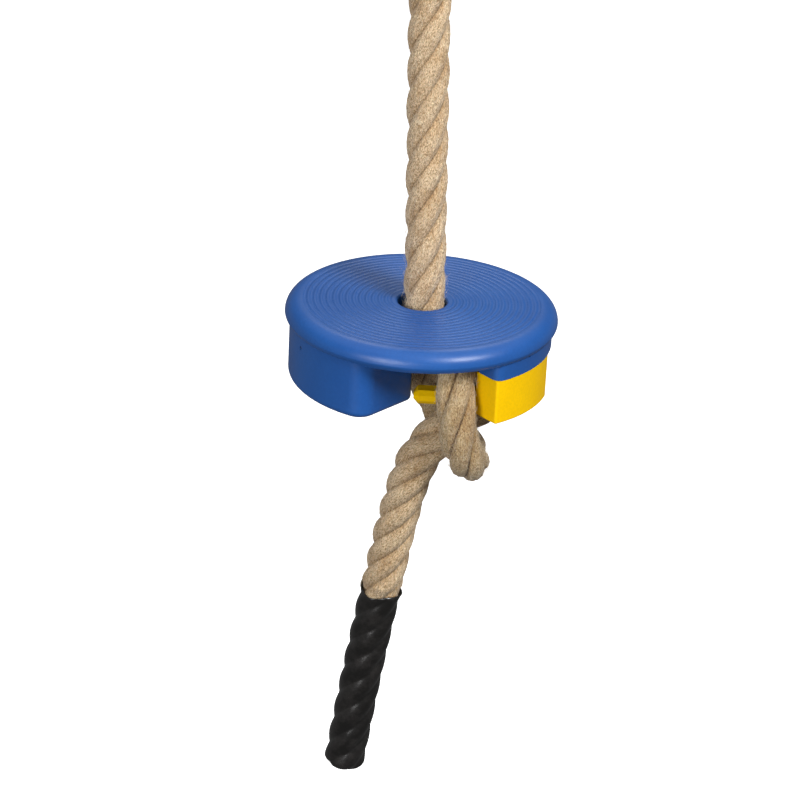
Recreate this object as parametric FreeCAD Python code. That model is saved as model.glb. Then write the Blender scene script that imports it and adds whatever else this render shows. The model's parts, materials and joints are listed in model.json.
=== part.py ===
"""Disc rope swing: a round button seat locked on the end of a hanging rope.

The rope is clamped under a swivel fitting on a ceiling bracket. It comes down through
the middle of the seat, is knotted in a chamber on the seat's underside, and a sliding
fork with a finger locks the knot there. Units are millimetres. The origin is the middle
of the ceiling bracket's mounting face, +Z is up, and the seat's open front faces -Y.
"""
import FreeCAD, Part
import math
import os

V = FreeCAD.Vector

# ---------------------------------------------------------------- driving dimensions
ROPE_R = 18.5              # 37 mm laid rope
KNOT_R = 17.8              # the rope is drawn thinner in the pulled-tight knot
SEAT_TOP_Z = -550.0        # the seat's top face below the ceiling
SEAT_X = 8.0               # the knot pulls the seat a little to one side of the clamp

# ceiling bracket
PLATE_X = 120.0
PLATE_Y = 80.0
PLATE_T = 8.0
PLATE_CORNER_R = 10.0
FIX_X = 90.0               # mounting hole spacing
FIX_Y = 50.0
FIX_R = 5.5
EAR_GAP = 32.0
EAR_T = 8.0
EAR_R = 16.0
HANGER_Z = -34.0           # axis of the hanger bolt, along X
RUN_FIT = 0.05             # radial clearance of a pin that turns in its bore
FACE_GAP = 0.3             # clearance between faces that pass each other

# swivel
HANGER_BOLT_R = 6.0
BUSH_R = 9.0
YOKE_R = 15.0
YOKE_DEPTH = 40.0
YOKE_BOTTOM = -92.0
WINDOW_TOP = -54.0
WINDOW_BOTTOM = -78.0
WINDOW_HALF_Y = 14.6
STEM_R = 8.0
WASHER_R = 11.4
WASHER_T = 2.5
NUT_16_AF = 24.0
NUT_16_T = 13.0
FORK_Z = -126.0            # axis of the fork bolt, along Y
FORK_GAP = 25.0
FORK_EAR_T = 8.0
FORK_BOLT_R = 6.0

# rope clamp
CLAMP_TOP = -150.0
CLAMP_BOTTOM = -236.0
CLAMP_BORE_R = ROPE_R + 0.2
CLAMP_OUTER_R = 25.0
CLAMP_FLANGE_X = 45.0
CLAMP_FLANGE_T = 8.0
CLAMP_SPLIT = 0.5          # half the gap between the two halves
CLAMP_BOLT_X = 34.0
CLAMP_BOLT_R = 4.0
CLAMP_BOLT_Z = (-168.0, -193.0, -218.0)
ROPE_TOP_Z = -160.0

# seat, heights measured down from its top face
LIP_R = 125.0
LIP_DEPTH = 19.1
RIM_R = 13.5               # rounding of the seat's upper edge
LIP_EDGE_R = 1.0
HEM_R = 122.6              # the lip draws in to here at its lower edge
DRAW_SHARE = 0.3           # share of that reached half-way down
SKIRT_R = 120.3
BLEND_R = 1.1              # hollow rounding between lip and skirt
SEAT_DEPTH = 74.0
HOLE_R = 22.5
HOLE_EDGE_R = 2.5
RING_COUNT = 14
RING_FIRST_R = 28.0
RING_PITCH = 5.9
RING_DEPTH = 0.55
RING_HALF_W = 2.1
CHAMBER_TOP = 14.0         # plate left above the knot
MOUTH_CORNER_R = 18.0
STUB_CORNER_R = 8.0
CHAMBER_CORNER_R = 6.0
FLOOR_EDGE_R = 6.0
TOP_WALL = 8.0
WALL = 6.0
RIB_T = 5.0
HUB_R = 30.0
POCKET_SPLIT_R = 72.0
MIN_POCKET = 6000.0        # mm3, smaller pockets are left solid

# lock slide, at rest with the seat closed
LOCK_TOP = 34.8
LOCK_BOTTOM = 76.3
LOCK_ROOF = 34.5
LOCK_R = SKIRT_R
LOCK_FLAT_X = 116.5        # flat on the slide's outer end
LOCK_INNER_X = 87.0
LOCK_BACK_Y = 59.0
FINGER_TIP_X = -3.4
FINGER_FRONT_Y = -65.0
FINGER_BACK_Y = -45.0
FINGER_TOP = 62.5
FINGER_BOTTOM = 75.5
FINGER_CHAMFER = 4.0
FINGER_TIP_CHAMFER = 4.0
ROOT_X = 81.0              # the slide is low between its finger and here, under the rope
ROOT_Y = -76.0
RUNNER_FRONT_Y = 45.0
RUNNER_END_X = -50.0
RUNNER_BOTTOM = 54.0
LOCK_TRAVEL = 62.0
STOP_X = 72.0
STOP_R = 3.0
DETENT_X = -15.0
DETENT_BALL_R = 4.0
KEEPER_T = 4.0

# rope end
SLEEVE_R = 18.8
SLEEVE_T = 1.6
SLEEVE_CAP = 5.0

# Route of the rope's centre line, measured from the middle of the seat's top face:
# down through the seat, under and up in front of the finger, back over it, down on the
# right, forward under the finger through its own loop, and away as the free tail.
ROPE_ROUTE = (
    (-SEAT_X, 0, ROPE_TOP_Z - SEAT_TOP_Z),
    (-SEAT_X, 0, 300),
    (4.2, 0, -66),
    (21.5, 3, -111.5),
    (48, -10, -136),
    (54, -62, -136),
    (41, -88, -107),
    (33, -88, -49.5),
    (35, -69, -32.8),
    (57.5, -6, -33.5),
    (66, 13, -52.5),
    (66.8, 13, -78.5),
    (63, -11, -96),
    (32.3, -44, -101),
    (7, -46, -128),
    (-5.3, -43, -165.2),
    (-17.2, -36, -232.4),
    (-32.6, -29, -330.8),
    (-42.6, -27, -399),
    (-53.0, -28.1, -478.4),
)
KNOT_START = (1, 0.93)     # run of the route, and how far along it
KNOT_END = (14, 0.5)
SLEEVE_START = (16, 0.5)
ARC_SHARE = 0.45           # part of the shorter run that an arc takes


# ---------------------------------------------------------------- shape helpers
def box(x0, x1, y0, y1, z0, z1):
    return Part.makeBox(x1 - x0, y1 - y0, z1 - z0, V(x0, y0, z0))


def rod(radius, start, end):
    """Cylinder from one point to another."""
    start = V(*start)
    along = V(*end) - start
    return Part.makeCylinder(radius, along.Length, start, along)


def hexagon(across_flats, start, end):
    """Hexagonal prism from one point to another."""
    start = V(*start)
    along = V(*end) - start
    radius = across_flats / 2 / math.cos(math.pi / 6)
    corners = [V(radius * math.cos(math.radians(60 * k)), radius * math.sin(math.radians(60 * k)), 0)
               for k in range(7)]
    prism = Part.Face(Part.makePolygon(corners)).extrude(V(0, 0, along.Length))
    prism.Placement = FreeCAD.Placement(start, FreeCAD.Rotation(V(0, 0, 1), along))
    return prism


def prism(outline, z0, z1):
    """Solid between two heights over an outline of corners."""
    corners = [V(x, y, z0) for x, y in outline]
    return Part.Face(Part.makePolygon(corners + corners[:1])).extrude(V(0, 0, z1 - z0))


def lathe(profile):
    """Solid of revolution about Z from edges in the XZ plane."""
    return Part.Face(Part.Wire(profile)).revolve(V(0, 0, 0), V(0, 0, 1), 360)


def line(a, b):
    return Part.LineSegment(a, b).toShape()


def round_edges(shape, radius, wanted):
    """Fillet the edges whose middle passes the test."""
    edges = [e for e in shape.Edges if wanted(e.BoundBox, e.CenterOfMass)]
    return shape.makeFillet(radius, edges)


def at_seat(shape):
    """Move a shape from the seat's own heights to its place under the ceiling."""
    shape.translate(V(SEAT_X, 0, SEAT_TOP_Z))
    return shape


def save(name, *solids):
    shape = solids[0] if len(solids) == 1 else Part.Compound(list(solids))
    shape.exportStep("parts/" + name + ".step")


# ---------------------------------------------------------------- ceiling bracket
def ceiling_bracket():
    plate = box(-PLATE_X / 2, PLATE_X / 2, -PLATE_Y / 2, PLATE_Y / 2, -PLATE_T, 0)
    plate = round_edges(plate, PLATE_CORNER_R, lambda b, c: b.ZLength > PLATE_T - 1)
    for side in (-1, 1):
        for end in (-1, 1):
            x = side * FIX_X / 2
            y = end * FIX_Y / 2
            plate = plate.cut(rod(FIX_R, (x, y, -PLATE_T - 1), (x, y, 1)))
    for side in (-1, 1):
        x0 = side * EAR_GAP / 2
        x1 = side * (EAR_GAP / 2 + EAR_T)
        low, high = min(x0, x1), max(x0, x1)
        ear = box(low, high, -EAR_R, EAR_R, HANGER_Z, -PLATE_T + 0.5)
        ear = ear.fuse(rod(EAR_R, (low, 0, HANGER_Z), (high, 0, HANGER_Z)))
        ear = ear.cut(rod(HANGER_BOLT_R, (low - 1, 0, HANGER_Z), (high + 1, 0, HANGER_Z)))
        plate = plate.fuse(ear)
    return plate.removeSplitter()


def through_bolt(radius, head_af, head_t, start, end):
    """Hexagon bolt: the shank runs from start to end, the head stands behind start."""
    along = (V(*end) - V(*start)).normalize()
    back = V(*start) - along * head_t
    head = hexagon(head_af, tuple(back), start)
    return head.fuse(rod(radius, start, end)).removeSplitter()


def ring(outer, inner, start, end):
    """Washer, bush or collar: a short tube."""
    along = (V(*end) - V(*start)).normalize()
    low = tuple(V(*start) - along)
    high = tuple(V(*end) + along)
    return rod(outer, start, end).cut(rod(inner, low, high))


def drilled_nut(across_flats, hole_r, start, end):
    """Hexagon nut with its outer corners turned down to a dome."""
    along = V(*end) - V(*start)
    middle = V(*start) + along * 0.5
    blank = hexagon(across_flats, start, end)
    crown = Part.makeSphere(math.hypot(across_flats / 2, along.Length / 2) + 0.35, middle)
    low = tuple(V(*start) - along)
    high = tuple(V(*end) + along)
    return blank.common(crown).cut(rod(hole_r, low, high))


def hanger_hardware():
    face = EAR_GAP / 2 + EAR_T
    washer = 2.5
    nut = 10.0
    bolt = through_bolt(HANGER_BOLT_R, 19, 7.5, (-face - washer, 0, HANGER_Z),
                        (face + washer + nut + 3, 0, HANGER_Z))
    save("hanger_bolt", bolt)
    washers = [ring(12, HANGER_BOLT_R, (side * face, 0, HANGER_Z), (side * (face + washer), 0, HANGER_Z))
               for side in (-1, 1)]
    save("hanger_washers", *washers)
    save("hanger_nut", drilled_nut(19, HANGER_BOLT_R, (face + washer, 0, HANGER_Z),
                                   (face + washer + nut, 0, HANGER_Z)))


# ---------------------------------------------------------------- swivel
def swivel_yoke():
    half_x = EAR_GAP / 2 - FACE_GAP
    barrel = rod(YOKE_R, (-half_x, 0, HANGER_Z), (half_x, 0, HANGER_Z))
    neck = box(-half_x, half_x, -YOKE_R, YOKE_R, WINDOW_TOP + 4, HANGER_Z)
    frame = box(-half_x, half_x, -YOKE_DEPTH / 2, YOKE_DEPTH / 2, YOKE_BOTTOM, WINDOW_TOP + 5)
    frame = round_edges(frame, 3, lambda b, c: b.ZLength > 20 or b.ZLength < 0.1)
    window = box(-half_x - 1, half_x + 1, -WINDOW_HALF_Y, WINDOW_HALF_Y, WINDOW_BOTTOM, WINDOW_TOP)
    window = round_edges(window, 3, lambda b, c: b.XLength > 2 * half_x)
    yoke = barrel.fuse([neck, frame]).cut(window)
    yoke = yoke.cut(rod(BUSH_R, (-half_x - 1, 0, HANGER_Z), (half_x + 1, 0, HANGER_Z)))
    yoke = yoke.cut(rod(STEM_R + RUN_FIT, (0, 0, YOKE_BOTTOM - 1), (0, 0, WINDOW_BOTTOM + 1)))
    return yoke.removeSplitter()


def yoke_bushes():
    """Two plain bushes pressed into the yoke, one from each side."""
    half_x = EAR_GAP / 2 - FACE_GAP
    return [ring(BUSH_R, HANGER_BOLT_R + RUN_FIT, (side * 0.5, 0, HANGER_Z), (side * half_x, 0, HANGER_Z))
            for side in (-1, 1)]


def swivel_fork():
    flange_top = YOKE_BOTTOM - FACE_GAP
    base_bottom = FORK_Z + EAR_R
    stem = rod(STEM_R, (0, 0, flange_top - 2), (0, 0, WINDOW_TOP - 4))
    flange = Part.makeCone(19, 16, 7, V(0, 0, flange_top - 7))
    half_y = FORK_GAP / 2 + FORK_EAR_T
    base = box(-EAR_R, EAR_R, -half_y, half_y, base_bottom, flange_top - 6)
    fork = stem.fuse([flange, base])
    for side in (-1, 1):
        y0 = side * FORK_GAP / 2
        y1 = side * half_y
        low, high = min(y0, y1), max(y0, y1)
        ear = box(-EAR_R, EAR_R, low, high, FORK_Z, base_bottom + 1)
        ear = ear.fuse(rod(EAR_R, (0, low, FORK_Z), (0, high, FORK_Z)))
        fork = fork.fuse(ear.cut(rod(FORK_BOLT_R, (0, low - 1, FORK_Z), (0, high + 1, FORK_Z))))
    return fork.removeSplitter()


def swivel_hardware():
    washer_top = WINDOW_BOTTOM + WASHER_T
    nut_bottom = washer_top + 0.1
    save("thrust_washer", ring(WASHER_R, STEM_R + RUN_FIT, (0, 0, WINDOW_BOTTOM), (0, 0, washer_top)))
    nut = drilled_nut(NUT_16_AF, STEM_R, (0, 0, nut_bottom), (0, 0, nut_bottom + NUT_16_T))
    pin_z = nut_bottom + NUT_16_T - 4
    nut = nut.cut(rod(1.5, (-20, 0, pin_z), (20, 0, pin_z)))
    save("swivel_nut", nut)
    fork = swivel_fork().cut(rod(1.5, (-20, 0, pin_z), (20, 0, pin_z)))
    save("swivel_fork", fork)
    save("swivel_pin", rod(1.5, (-12.5, 0, pin_z), (12.5, 0, pin_z)))


def fork_hardware():
    face = FORK_GAP / 2 + FORK_EAR_T
    washer = 2.5
    nut = 10.0
    bolt = through_bolt(FORK_BOLT_R, 19, 7.5, (0, -face - washer, FORK_Z),
                        (0, face + washer + nut + 3, FORK_Z))
    save("fork_bolt", bolt)
    washers = [ring(12, FORK_BOLT_R, (0, side * face, FORK_Z), (0, side * (face + washer), FORK_Z))
               for side in (-1, 1)]
    save("fork_washers", *washers)
    save("fork_nut", drilled_nut(19, FORK_BOLT_R, (0, face + washer, FORK_Z),
                                 (0, face + washer + nut, FORK_Z)))


# ---------------------------------------------------------------- rope clamp
def clamp_half(side):
    """One half of the rope clamp, in front of (-1) or behind (+1) the rope."""
    tongue_y = FORK_GAP / 2 - FACE_GAP
    shell = rod(CLAMP_OUTER_R, (0, 0, CLAMP_BOTTOM), (0, 0, CLAMP_TOP))
    shell = round_edges(shell, 3, lambda b, c: b.ZLength < 0.1)
    flange = box(-CLAMP_FLANGE_X, CLAMP_FLANGE_X, -CLAMP_FLANGE_T, CLAMP_FLANGE_T, CLAMP_BOTTOM, CLAMP_TOP)
    flange = round_edges(flange, 6, lambda b, c: b.YLength > 10)
    tongue = box(-EAR_R + 1, EAR_R - 1, -tongue_y, tongue_y, CLAMP_TOP - 4, FORK_Z)
    tongue = tongue.fuse(rod(EAR_R - 1, (0, -tongue_y, FORK_Z), (0, tongue_y, FORK_Z)))
    whole = shell.fuse([flange, tongue])
    whole = whole.cut(rod(CLAMP_BORE_R, (0, 0, CLAMP_BOTTOM - 1), (0, 0, ROPE_TOP_Z + 0.3)))
    whole = whole.cut(rod(FORK_BOLT_R + RUN_FIT, (0, -50, FORK_Z), (0, 50, FORK_Z)))
    for z in CLAMP_BOLT_Z:
        for x in (-CLAMP_BOLT_X, CLAMP_BOLT_X):
            whole = whole.cut(rod(CLAMP_BOLT_R, (x, -50, z), (x, 50, z)))
    far = 60
    if side > 0:
        keep = box(-far, far, CLAMP_SPLIT, far, CLAMP_BOTTOM - 1, 0)
    else:
        keep = box(-far, far, -far, -CLAMP_SPLIT, CLAMP_BOTTOM - 1, 0)
    return whole.common(keep).removeSplitter()


def clamp_hardware():
    face = CLAMP_FLANGE_T
    washer = 1.6
    nut = 6.8
    places = [(x, z) for z in CLAMP_BOLT_Z for x in (-CLAMP_BOLT_X, CLAMP_BOLT_X)]
    bolts = [through_bolt(CLAMP_BOLT_R, 13, 5.3, (x, -face, z), (x, face + washer + nut + 2, z))
             for x, z in places]
    save("clamp_bolts", *bolts)
    washers = [ring(8, CLAMP_BOLT_R, (x, face, z), (x, face + washer, z)) for x, z in places]
    save("clamp_washers", *washers)
    nuts = [drilled_nut(13, CLAMP_BOLT_R, (x, face + washer, z), (x, face + washer + nut, z))
            for x, z in places]
    save("clamp_nuts", *nuts)


# ---------------------------------------------------------------- rope
def route_edges():
    """Runs and tangent arcs of the rope's route: run 0, arc 1, run 1, arc 2 and so on."""
    points = [V(*p) for p in ROPE_ROUTE]
    edges = []
    start = points[0]
    for before, corner, after in zip(points, points[1:], points[2:]):
        back = before - corner
        ahead = after - corner
        setback = ARC_SHARE * min(back.Length, ahead.Length)
        back.normalize()
        ahead.normalize()
        turn = math.pi - back.getAngle(ahead)
        radius = setback / math.tan(turn / 2)
        print("rope arc radius %.1f mm" % radius)
        arc_start = corner + back * setback
        arc_end = corner + ahead * setback
        middle = corner + (back + ahead).normalize() * (math.hypot(radius, setback) - radius)
        edges.append(line(start, arc_start))
        edges.append(Part.Arc(arc_start, middle, arc_end).toShape())
        start = arc_end
    edges.append(line(start, points[-1]))
    return edges


def on_run(run, share):
    """Point part of the way along a run of the route."""
    a = V(*ROPE_ROUTE[run])
    b = V(*ROPE_ROUTE[run + 1])
    return a + (b - a) * share


def rope_path(edges, start, end):
    """The route from one place to another, each given as (run, share of it)."""
    first, last = start[0], end[0]
    path = edges[2 * first:2 * last + 1]
    if first == last:
        return Part.Wire([line(on_run(*start), on_run(*end))])
    path[0] = line(on_run(*start), path[0].Vertexes[-1].Point)
    path[-1] = line(path[-1].Vertexes[0].Point, on_run(*end))
    return Part.Wire(path)


def tube(path, radius):
    first = path.OrderedEdges[0]
    tangent = first.tangentAt(first.FirstParameter)
    section = Part.Wire(Part.Circle(first.valueAt(first.FirstParameter), tangent, radius).toShape())
    solid = path.makePipeShell([section], True, False)
    expected = math.pi * radius ** 2 * path.Length
    print("tube volume over section times length: %.3f" % (solid.Volume / expected))
    return solid


def rope_and_sleeve():
    edges = route_edges()
    last_run = len(ROPE_ROUTE) - 2
    top = (0, 0.0)
    end = (last_run, 1.0)
    core_end = (last_run, 1.0 - SLEEVE_CAP / (on_run(last_run, 1) - on_run(last_run, 0)).Length)
    bore_end = (last_run, core_end[1] + 0.004)
    save("rope_standing", at_seat(tube(rope_path(edges, top, KNOT_START), ROPE_R)))
    save("rope_knot", at_seat(tube(rope_path(edges, KNOT_START, KNOT_END), KNOT_R)))
    core = tube(rope_path(edges, SLEEVE_START, core_end), SLEEVE_R - SLEEVE_T - 0.1)
    tail = tube(rope_path(edges, KNOT_END, SLEEVE_START), ROPE_R).fuse(core)
    save("rope_tail", at_seat(tail))
    bore = tube(rope_path(edges, SLEEVE_START, bore_end), SLEEVE_R - SLEEVE_T)
    sleeve = tube(rope_path(edges, SLEEVE_START, end), SLEEVE_R)
    low = sleeve.BoundBox.ZMin
    sleeve = round_edges(sleeve, 4, lambda b, c: b.ZMax < low + 15)
    save("end_sleeve", at_seat(sleeve.cut(bore)))


# ---------------------------------------------------------------- seat
def arc(a, middle, b):
    return Part.Arc(a, middle, b).toShape()


def seat_top():
    """The turned upper part of the seat: rippled top, rounded rim, lip and centre hole."""
    low = -LIP_DEPTH
    half = math.sqrt(0.5)
    hole_low = V(HOLE_R, 0, low)
    hole_high = V(HOLE_R, 0, -HOLE_EDGE_R)
    edge_mid = V(HOLE_R + HOLE_EDGE_R * (1 - half), 0, -HOLE_EDGE_R * (1 - half))
    place = V(HOLE_R + HOLE_EDGE_R, 0, 0)
    edges = [line(hole_low, hole_high), arc(hole_high, edge_mid, place)]
    for k in range(RING_COUNT):
        middle = RING_FIRST_R + RING_HALF_W + k * RING_PITCH
        groove_in = V(middle - RING_HALF_W, 0, 0)
        groove_out = V(middle + RING_HALF_W, 0, 0)
        edges.append(line(place, groove_in))
        edges.append(arc(groove_in, V(middle, 0, -RING_DEPTH), groove_out))
        place = groove_out
    rim_start = V(LIP_R - RIM_R, 0, 0)
    rim_mid = V(LIP_R - RIM_R * (1 - half), 0, -RIM_R * (1 - half))
    rim_end = V(LIP_R, 0, -RIM_R)
    lip_a = V(HEM_R, 0, low + LIP_EDGE_R)
    lip_mid = V(HEM_R - LIP_EDGE_R * (1 - half), 0, low + LIP_EDGE_R * (1 - half))
    lip_b = V(HEM_R - LIP_EDGE_R, 0, low)
    draw_in = V(LIP_R - DRAW_SHARE * (LIP_R - HEM_R), 0, (lip_a.z - RIM_R) / 2)
    edges += [line(place, rim_start), arc(rim_start, rim_mid, rim_end), arc(rim_end, draw_in, lip_a)]
    edges += [arc(lip_a, lip_mid, lip_b), line(lip_b, hole_low)]
    return lathe(edges)


def skirt_corner(inner, outward, side, radius):
    """Rounded corner where a mouth wall meets the skirt: points on the wall, midway and on the skirt.

    The wall runs outward from an inner point, and the seat's material lies on one side of it.
    """
    normal = V(-outward.y * side, outward.x * side, 0)
    base = inner + normal * radius
    reach = SKIRT_R - radius
    b = base.dot(outward)
    along = -b + math.sqrt(b * b - base.dot(base) + reach * reach)
    centre = base + outward * along
    radial = V(centre)
    radial.normalize()
    on_wall = centre - normal * radius
    on_skirt = radial * SKIRT_R
    middle = centre + (radial - normal).normalize() * radius
    return on_wall, middle, on_skirt


def skirt_block():
    """The seat below its top plate: the skirt, and the walls of the mouth and the knot chamber."""
    chamber = [V(x, y, 0) for x, y in CHAMBER]
    left_out = (chamber[0] - chamber[1]).normalize()
    right_out = (chamber[-1] - chamber[-2]).normalize()
    left = skirt_corner(chamber[1], left_out, -1, MOUTH_CORNER_R)
    right = skirt_corner(chamber[-2], right_out, 1, STUB_CORNER_R)
    walls = [left[0]] + chamber[1:-1] + [right[0]]
    edges = [line(a, b) for a, b in zip(walls, walls[1:])]
    edges.append(arc(*right))
    edges.append(arc(right[2], V(0, SKIRT_R, 0), left[2]))
    edges.append(arc(left[2], left[1], left[0]))
    block = Part.Face(Part.Wire(edges)).extrude(V(0, 0, SEAT_DEPTH - LIP_DEPTH))
    block.translate(V(0, 0, -SEAT_DEPTH))
    inner = [e for e in block.Edges if e.BoundBox.ZLength > 5
             and any(math.hypot(e.CenterOfMass.x - p.x, e.CenterOfMass.y - p.y) < 0.1
                     for p in chamber[1:-1])]
    block = block.makeFillet(CHAMBER_CORNER_R, inner)
    return round_edges(block, FLOOR_EDGE_R, lambda box, c: box.ZMax < -SEAT_DEPTH + 0.1)


# Outline of the knot chamber and its flared mouth, seen from above, from the outer end of
# the mouth's left wall round to the outer end of its right wall.
CHAMBER = (
    (-43.6, -106.1),
    (-4.2, -60.0),
    (-25.0, -30.0),
    (-25.0, 10.0),
    (-10.0, 26.0),
    (40.0, 33.0),
    (LOCK_INNER_X + 3, 33.0),
    (LOCK_INNER_X + 3, -40.0),
    (62.0, -62.0),
    (52.5, -76.0),
    (68.5, -94.5),
)


def chamber_roof_cut():
    """The upper part of the knot chamber, let into the top plate behind the lip."""
    beyond = ((96.0, -118.0), (40.0, -150.0), (-40.0, -150.0), (-80.0, -134.0))
    chamber = prism(CHAMBER + beyond, -LIP_DEPTH - 1, -CHAMBER_TOP)
    return chamber.common(Part.makeCylinder(SKIRT_R - 8, 60, V(0, 0, -60)))


def lock_cut():
    """Room for the lock slide: open to the right, and a groove for its runner."""
    side = LOCK_BACK_Y + 0.6
    block = box(LOCK_INNER_X - 1, LIP_R + 10, -110, side, -SEAT_DEPTH - 5, -LOCK_ROOF)
    front = box(45, LIP_R + 10, -130, -40, -SEAT_DEPTH - 5, -LOCK_ROOF)
    low = -SEAT_DEPTH - 5
    groove = box(RUNNER_END_X - 1, LOCK_INNER_X, RUNNER_FRONT_Y - FACE_GAP, side, low, -LOCK_ROOF)
    keeper_y0, keeper_y1 = keeper_span()
    recess = box(RUNNER_END_X - 14, LOCK_INNER_X, keeper_y0 - FACE_GAP, keeper_y1 + FACE_GAP,
                 low, -RUNNER_BOTTOM - FACE_GAP)
    return block.fuse([front, groove, recess])


def keeper_span():
    """Front and back edge of the strip that keeps the slide up."""
    return RUNNER_FRONT_Y - 9, LOCK_BACK_Y + 10


def rib_pattern():
    """Radial ribs and one ring rib that stay between the pockets under the seat."""
    ribs = []
    for k in range(12):
        bar = box(0, LIP_R, -RIB_T / 2, RIB_T / 2, -SEAT_DEPTH - 5, 0)
        bar.rotate(V(0, 0, 0), V(0, 0, 1), 15 + 30 * k)
        ribs.append(bar)
    ribs.append(ring(POCKET_SPLIT_R + RIB_T / 2, POCKET_SPLIT_R - RIB_T / 2,
                     (0, 0, -SEAT_DEPTH - 5), (0, 0, 0)))
    return ribs


def grown(outline, margin, z0, z1):
    """An outline, grown by a margin, as a solid."""
    corners = [V(x, y, z0) for x, y in outline]
    wire = Part.makePolygon(corners + corners[:1]).makeOffset2D(margin)
    return Part.Face(wire).extrude(V(0, 0, z1 - z0))


def pockets():
    """Hollows under the seat, between the ribs and clear of the chamber and the lock."""
    low = -SEAT_DEPTH - 5
    beyond = ((110.0, -130.0), (-60.0, -130.0))
    field = ring(SKIRT_R - WALL - 1, HUB_R, (0, 0, low), (0, 0, -TOP_WALL))
    keeper_y0, keeper_y1 = keeper_span()
    lock_area = box(RUNNER_END_X - 20, LIP_R, keeper_y0 - WALL, keeper_y1 + WALL, low, 0)
    right_area = box(45, LIP_R, -LIP_R, keeper_y1, low, 0)
    chamber_area = grown(CHAMBER + beyond, WALL, low, 0)
    field = field.cut(rib_pattern() + [lock_area, right_area, chamber_area])
    return [s for s in field.Solids if s.Volume > MIN_POCKET]


def keeper_screw_places():
    y0, y1 = keeper_span()
    return [(x, y) for x in (-57.0, 12.0, 78.0) for y in (y0 + 5, y1 - 5)]


# Two small breather holes under the lip: direction from +X in degrees, height and radius.
VENTS = ((-153.0, -30.0, 2.0), (-34.5, -20.6, 1.2))


def vent_rod(angle, z, radius, r0, r1):
    """Radial rod at a breather hole."""
    c = math.cos(math.radians(angle))
    s = math.sin(math.radians(angle))
    return rod(radius, (r0 * c, r0 * s, z), (r1 * c, r1 * s, z))


def blended(body):
    """Hollow rounding where the walls below meet the underside of the lip."""
    edges = [e for e in body.Edges if abs(e.BoundBox.ZMin + LIP_DEPTH) < 0.01
             and e.BoundBox.ZLength < 0.01 and not e.isClosed()]
    return body.makeFillet(BLEND_R, edges)


def seat_body():
    body = blended(seat_top().fuse(skirt_block()).removeSplitter()).cut(chamber_roof_cut())
    body = body.cut(lock_cut())
    body = body.cut(pockets())
    for x, y in keeper_screw_places():
        body = body.cut(rod(2.0, (x, y, -RUNNER_BOTTOM - 5), (x, y, -RUNNER_BOTTOM + 12)))
    lane_y = (RUNNER_FRONT_Y + LOCK_BACK_Y) / 2
    body = body.cut(rod(2.5, (STOP_X, lane_y, -LOCK_ROOF - 1), (STOP_X, lane_y, -LOCK_ROOF + 14)))
    body = body.cut(rod(5.5, (DETENT_X, lane_y, -LOCK_ROOF - 1), (DETENT_X, lane_y, -LOCK_ROOF + 15)))
    for angle, z, radius in VENTS:
        body = body.cut(vent_rod(angle, z, radius, SKIRT_R - 5, LIP_R))
    return body.removeSplitter()


def vent_plugs():
    """Plugs that close the breather holes a little below the surface."""
    return [vent_rod(angle, z, radius - 0.05, SKIRT_R - 5, SKIRT_R - 0.9) for angle, z, radius in VENTS]


# ---------------------------------------------------------------- lock slide
def lock_block():
    """The slide's outer end, which completes the skirt, cut low where the rope crosses it."""
    height = LOCK_BOTTOM - LOCK_TOP
    disc = Part.makeCylinder(LOCK_R, height, V(0, 0, -LOCK_BOTTOM))
    disc = disc.common(box(-LIP_R, LOCK_FLAT_X, -LIP_R, LIP_R, -LOCK_BOTTOM, -LOCK_TOP))
    wall_in = CHAMBER[-2]
    wall_out = CHAMBER[-1]
    beyond = (wall_out[0] + 2 * (wall_out[0] - wall_in[0]), wall_out[1] + 2 * (wall_out[1] - wall_in[1]))
    far = LIP_R + 15
    outline = ((40.0, FINGER_FRONT_Y), wall_in, beyond, (far, beyond[1]), (far, LOCK_BACK_Y),
               (LOCK_INNER_X, LOCK_BACK_Y), (LOCK_INNER_X, FINGER_BACK_Y + 10),
               (LOCK_INNER_X - 10, FINGER_BACK_Y), (40.0, FINGER_BACK_Y))
    block = prism(outline, -LOCK_BOTTOM, -LOCK_TOP).common(disc)
    block = round_edges(block, 2.5, lambda b, c: b.ZLength > height - 1 and math.hypot(c.x, c.y) > 110)
    block = round_edges(block, 1.5, lambda b, c: b.ZMax < -LOCK_BOTTOM + 0.1)
    return block.cut(box(30, ROOT_X, ROOT_Y, 0, -FINGER_TOP, 0))


def lock_slide():
    """Outer block that fills the gap in the skirt, with its finger and its guide runner."""
    block = lock_block()
    bar = finger()
    runner = box(RUNNER_END_X, LOCK_INNER_X + 5, RUNNER_FRONT_Y, LOCK_BACK_Y, -RUNNER_BOTTOM, -LOCK_TOP)
    runner = round_edges(runner, 2, lambda b, c: abs(b.XMax - RUNNER_END_X) < 0.1 and b.ZLength > 5)
    lane_y = (RUNNER_FRONT_Y + LOCK_BACK_Y) / 2
    slot = box(STOP_X - LOCK_TRAVEL, STOP_X, lane_y - STOP_R - 0.3, lane_y + STOP_R + 0.3, -80, -30)
    for x in (STOP_X - LOCK_TRAVEL, STOP_X):
        slot = slot.fuse(rod(STOP_R + 0.3, (x, lane_y, -80), (x, lane_y, -30)))
    ball_lane = rod(DETENT_BALL_R + 0.4, (RUNNER_END_X - 1, lane_y, -LOCK_ROOF + 1.2),
                    (DETENT_X + 1, lane_y, -LOCK_ROOF + 1.2))
    dimple = Part.makeSphere(DETENT_BALL_R + 0.4, V(DETENT_X + 1, lane_y, -LOCK_ROOF + 1.2))
    slide = block.fuse([bar, runner]).cut(slot.fuse([ball_lane, dimple]))
    return slide.removeSplitter()


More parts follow.
